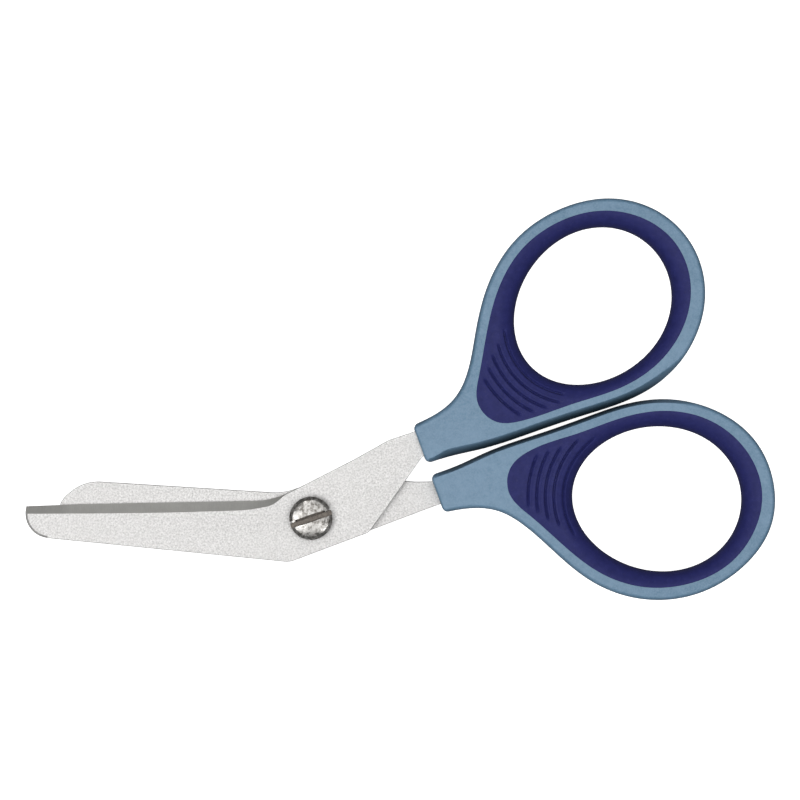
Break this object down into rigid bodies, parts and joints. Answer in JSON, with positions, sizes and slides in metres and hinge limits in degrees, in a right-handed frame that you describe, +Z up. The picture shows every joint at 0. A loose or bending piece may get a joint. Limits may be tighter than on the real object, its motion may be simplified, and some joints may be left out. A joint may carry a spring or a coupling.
{
  "type": "bandage scissors",
  "caption": "Small bent-blade first-aid scissors, closed: two stamped blades on a slotted pivot screw, ring handles with soft grips.",
  "frame": {"origin": "middle of the closed outline, on the plane that the handles and the end of the pivot screw rest on", "axes": "+X from the blade tips to the finger rings, +Y across towards the front half's ring, +Z up along the pivot axis, out of the side with the screw's slot"},
  "size_m": [0.127, 0.068, 0.008],
  "materials": {
    "blade_steel": "pearly speckled titanium coat, with the cutting bevels ground bare",
    "handle_plastic": "satin light steel-blue moulded plastic with a fine texture",
    "grip_rubber": "matte navy soft-touch rubber with curved grooves",
    "pivot_steel": "bright nickel, slightly worn"
  },
  "bodies": {
    "rear_half": {"rear_blade": "blade_steel", "rear_handle": "handle_plastic", "rear_grip": "grip_rubber", "pivot_screw": "pivot_steel", "tension_washer": "pivot_steel", "pivot_nut": "pivot_steel"},
    "front_half": {"front_blade": "blade_steel", "front_handle": "handle_plastic", "front_grip": "grip_rubber"}
  },
  "joints": [
    {"name": "blade_pivot", "type": "hinge", "parent": "rear_half", "child": "front_half", "pos_m": [-0.01506, -0.02015, 0.004], "axis": [0, 0, 1], "range_deg": [0, 122]}
  ]
}
